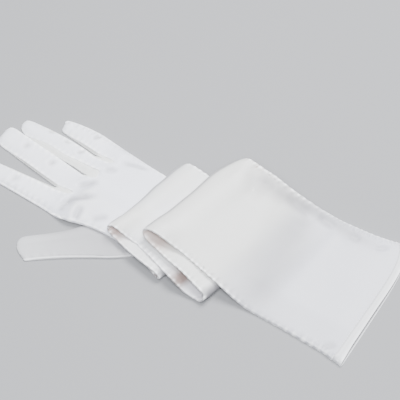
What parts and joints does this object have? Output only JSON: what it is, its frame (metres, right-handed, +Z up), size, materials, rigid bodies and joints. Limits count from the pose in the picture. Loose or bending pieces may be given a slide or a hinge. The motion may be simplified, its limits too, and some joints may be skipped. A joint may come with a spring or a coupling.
{
  "type": "bridal glove",
  "caption": "Long satin bridal glove for the right hand, lying palm down with its sleeve folded over itself and its thumb tucked out from below.",
  "frame": {"origin": "on the surface that the glove lies on, below the middle of its overall box", "axes": "+X from the fingertips to the cuff, +Y towards the little finger's side, +Z up from the surface, the back of the hand up"},
  "size_m": [0.3636, 0.1886, 0.0305],
  "materials": {
    "satin_back": "white satin, soft sheen",
    "satin_palm": "white satin, soft sheen",
    "satin_thumb": "white satin, soft sheen",
    "satin_fourchette": "white satin, soft sheen",
    "satin_hem": "white satin, turned and stitched"
  },
  "bodies": {
    "root": {"back_panel": "satin_back", "palm_panel": "satin_palm", "thumb": "satin_thumb", "fourchette_index_middle": "satin_fourchette", "fourchette_middle_ring": "satin_fourchette", "fourchette_ring_little": "satin_fourchette", "cuff_hem": "satin_hem"}
  },
  "joints": []
}
